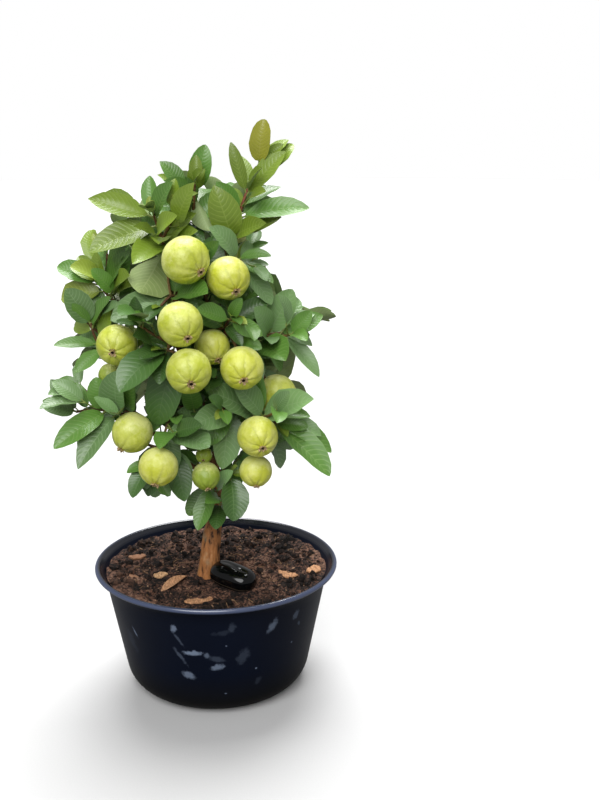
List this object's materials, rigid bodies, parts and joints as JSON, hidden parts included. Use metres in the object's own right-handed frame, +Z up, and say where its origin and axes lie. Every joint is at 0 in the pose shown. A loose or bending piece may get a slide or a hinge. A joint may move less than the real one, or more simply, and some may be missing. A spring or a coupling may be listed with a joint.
{
  "type": "potted fruit tree",
  "caption": "Small guava tree with round pale green fruit, rooted in soil in a shallow round plastic pot with a flared rim.",
  "frame": {"origin": "centre of the pot's flat underside, on the surface it stands on", "axes": "+Z up along the pot's axis, -Y towards the front of the tree, +X to its right as seen from the front"},
  "size_m": [0.2073, 0.1849, 0.4158],
  "materials": {
    "pot_plastic": "navy polypropylene, satin with scuffs",
    "potting_soil": "dark crumbly potting mix",
    "bark": "smooth orange-brown guava bark",
    "foliage": "satin green leaves with pale green fruit",
    "polished_stone": "polished black",
    "bark_chips": "dry bark and leaf litter"
  },
  "bodies": {
    "root": {"pot": "pot_plastic", "soil": "potting_soil", "stone": "polished_stone", "bark_chip_1": "bark_chips", "bark_chip_2": "bark_chips", "bark_chip_3": "bark_chips", "bark_chip_4": "bark_chips", "bark_chip_5": "bark_chips", "bark_chip_6": "bark_chips", "bark_chip_7": "bark_chips", "trunk": "bark", "bough_right_leader": "bark", "bough_top_middle": "bark", "bough_upper_left": "bark", "bough_mid_left": "bark", "bough_low_left": "bark", "bough_bottom_left": "bark", "bough_bottom_front": "bark", "bough_low_right": "bark", "bough_mid_right": "bark", "bough_upper_right": "bark", "bough_upper_front": "bark", "bough_front": "bark", "bough_front_right": "bark", "bough_low_front": "bark", "bough_low_mid": "bark", "bough_heart_low": "bark", "bough_heart_high": "bark", "bough_back_top": "bark", "bough_back_upper": "bark", "bough_back_left": "bark", "bough_back_right": "bark", "bough_back_middle": "bark", "bough_back_low": "bark", "bough_back_low_right": "bark", "mass_top_right": "foliage", "mass_top_middle": "foliage", "mass_top_left": "foliage", "mass_upper_left": "foliage", "mass_mid_left": "foliage", "mass_low_left": "foliage", "mass_bottom_left": "foliage", "mass_bottom_front": "foliage", "mass_low_right": "foliage", "mass_mid_right": "foliage", "mass_upper_right": "foliage", "mass_upper_front": "foliage", "mass_front": "foliage", "mass_front_right": "foliage", "mass_low_front": "foliage", "mass_low_mid": "foliage", "mass_heart_low": "foliage", "mass_heart_high": "foliage", "mass_back_top": "foliage", "mass_back_upper": "foliage", "mass_back_left": "foliage", "mass_back_right": "foliage", "mass_back_middle": "foliage", "mass_back_low": "foliage", "mass_back_low_right": "foliage"}
  },
  "joints": []
}
